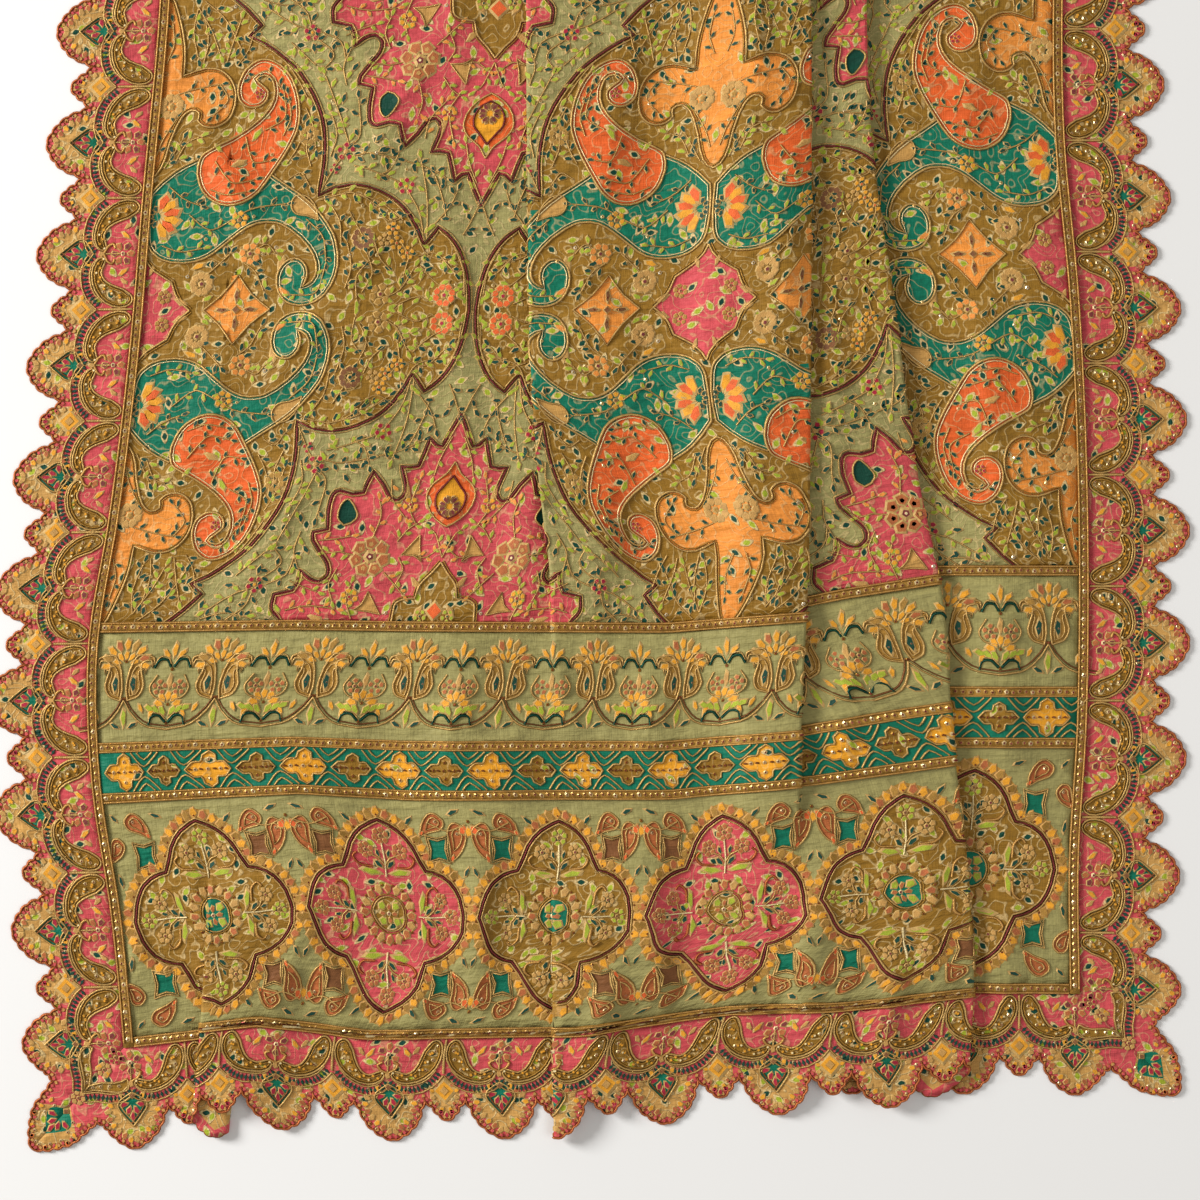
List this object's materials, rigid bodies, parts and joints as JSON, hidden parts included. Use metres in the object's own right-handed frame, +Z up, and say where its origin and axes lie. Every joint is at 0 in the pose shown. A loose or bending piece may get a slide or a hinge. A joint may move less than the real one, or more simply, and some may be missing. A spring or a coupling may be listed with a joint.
{
  "type": "dupatta",
  "caption": "Printed silk dupatta with scalloped border, banded end panels and gold tapes, laid flat on a surface in a few long tucks.",
  "frame": {"origin": "centre of the laid cloth's outline, on the surface it lies on", "axes": "+X across the cloth, +Y along its length away from the near end, +Z up"},
  "size_m": [0.7766, 2.3349, 0.0174],
  "materials": {
    "silk_field": "printed slub silk in sage, ochre, teal, orange and pink, closely embroidered",
    "silk_pallu": "sage slub silk, embroidered in bands",
    "silk_strip": "teal silk ribbon with gold cord and sequins",
    "silk_border": "pink silk, embroidered, with a picot edge",
    "gold_tape": "woven gold tape with a row of sequins"
  },
  "bodies": {
    "root": {"field": "silk_field", "pallu_near": "silk_pallu", "pallu_far": "silk_pallu", "strip_near": "silk_strip", "strip_far": "silk_strip", "border_left": "silk_border", "border_right": "silk_border", "border_near": "silk_border", "border_far": "silk_border", "tape_left": "gold_tape", "tape_right": "gold_tape", "tape_hem_near": "gold_tape", "tape_hem_far": "gold_tape", "tape_cross_near": "gold_tape", "tape_cross_far": "gold_tape"}
  },
  "joints": []
}
